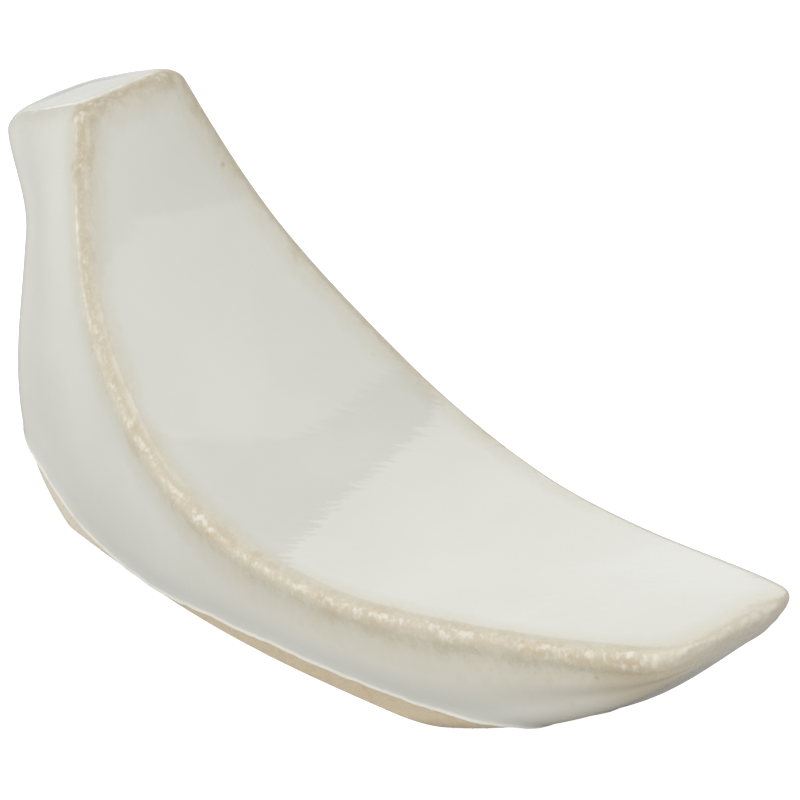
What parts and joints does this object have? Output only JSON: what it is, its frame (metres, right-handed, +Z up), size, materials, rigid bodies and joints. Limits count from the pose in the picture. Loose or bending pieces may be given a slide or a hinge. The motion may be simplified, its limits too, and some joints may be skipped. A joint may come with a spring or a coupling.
{
  "type": "chopstick rest",
  "caption": "Banana-shaped stoneware chopstick rest: upturned concave bar with squared stem end, tapered tip and flat bare foot; white glaze thins to buff along its edges.",
  "frame": {"origin": "middle of the bounding box, on the table plane under the foot", "axes": "+X along the bar from the stem end towards the tip, +Y across the bar, +Z up from the table"},
  "size_m": [0.0644, 0.0216, 0.0277],
  "materials": {
    "clay": "unglazed buff stoneware, fine sandy grain",
    "glaze": "glossy warm white glaze with a faint orange-peel surface"
  },
  "bodies": {
    "root": {"clay_body": "clay", "glaze_coat": "glaze"}
  },
  "joints": []
}
